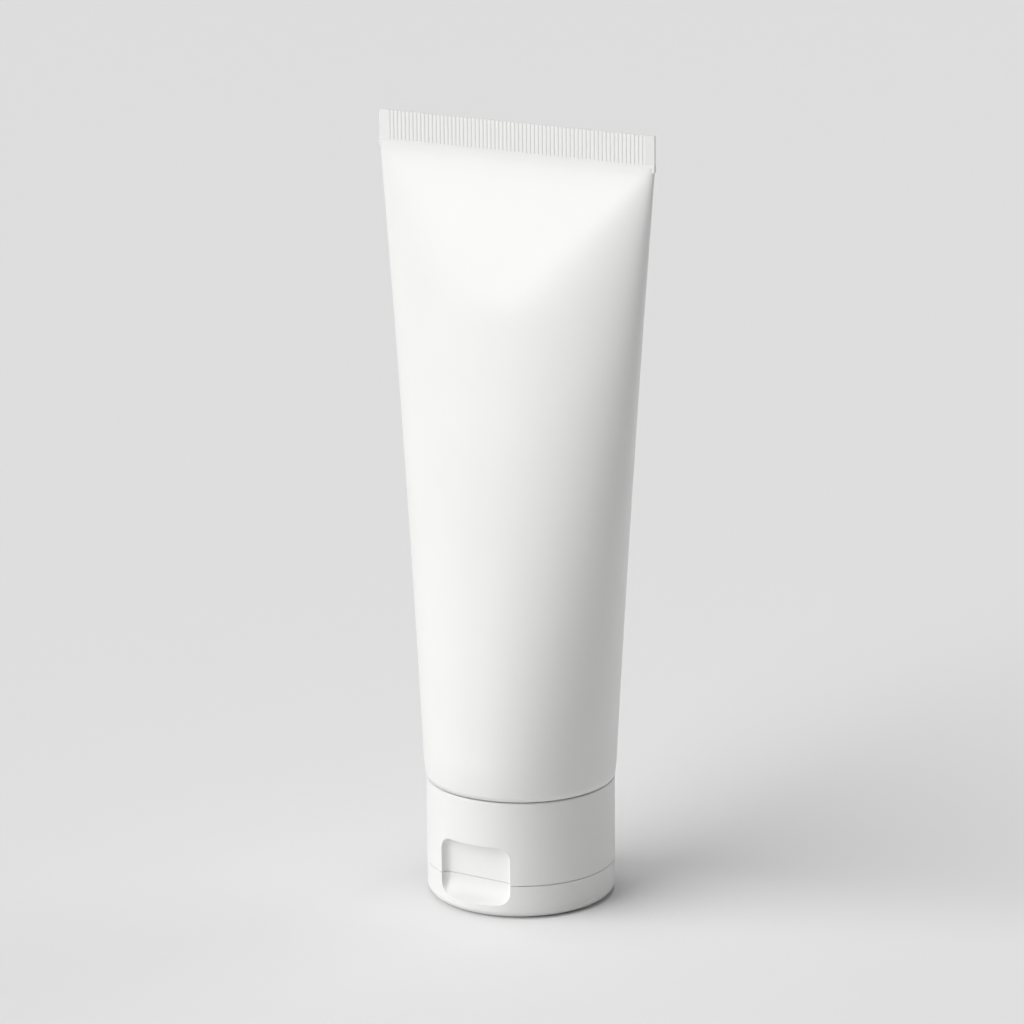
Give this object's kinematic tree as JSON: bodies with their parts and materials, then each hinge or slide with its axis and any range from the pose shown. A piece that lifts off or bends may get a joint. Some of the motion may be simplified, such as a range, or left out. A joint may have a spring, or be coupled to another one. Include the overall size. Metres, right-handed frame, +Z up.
{
  "type": "squeeze tube with flip-top cap",
  "caption": "Plain white squeeze tube for paste, crimped flat at one end and standing on its round flip-top cap with a thumb recess.",
  "frame": {"origin": "centre of the lid's flat face, on the surface that the tube stands on", "axes": "+Z up from the lid's face to the crimp, crimp along X, thumb recess towards -Y and hinge towards +Y, both turned 3 degrees about Z"},
  "size_m": [0.0628, 0.0396, 0.162],
  "materials": {
    "sleeve_film": "satin white polyethylene film",
    "head_plastic": "moulded polyethylene",
    "paste": "soft white paste",
    "cap_plastic": "fine satin white polypropylene"
  },
  "bodies": {
    "tube": {"tube_sleeve": "sleeve_film", "tube_head": "head_plastic", "paste_fill": "paste", "cap_base": "cap_plastic", "hinge_web": "cap_plastic"},
    "lid": {"cap_lid": "cap_plastic"}
  },
  "joints": [
    {"name": "lid_hinge", "type": "hinge", "parent": "tube", "child": "lid", "pos_m": [0.00101, 0.01927, 0.0072], "axis": [0.9986, -0.0523, 0], "range_deg": [0, 165], "deforming": ["hinge_web"]}
  ]
}
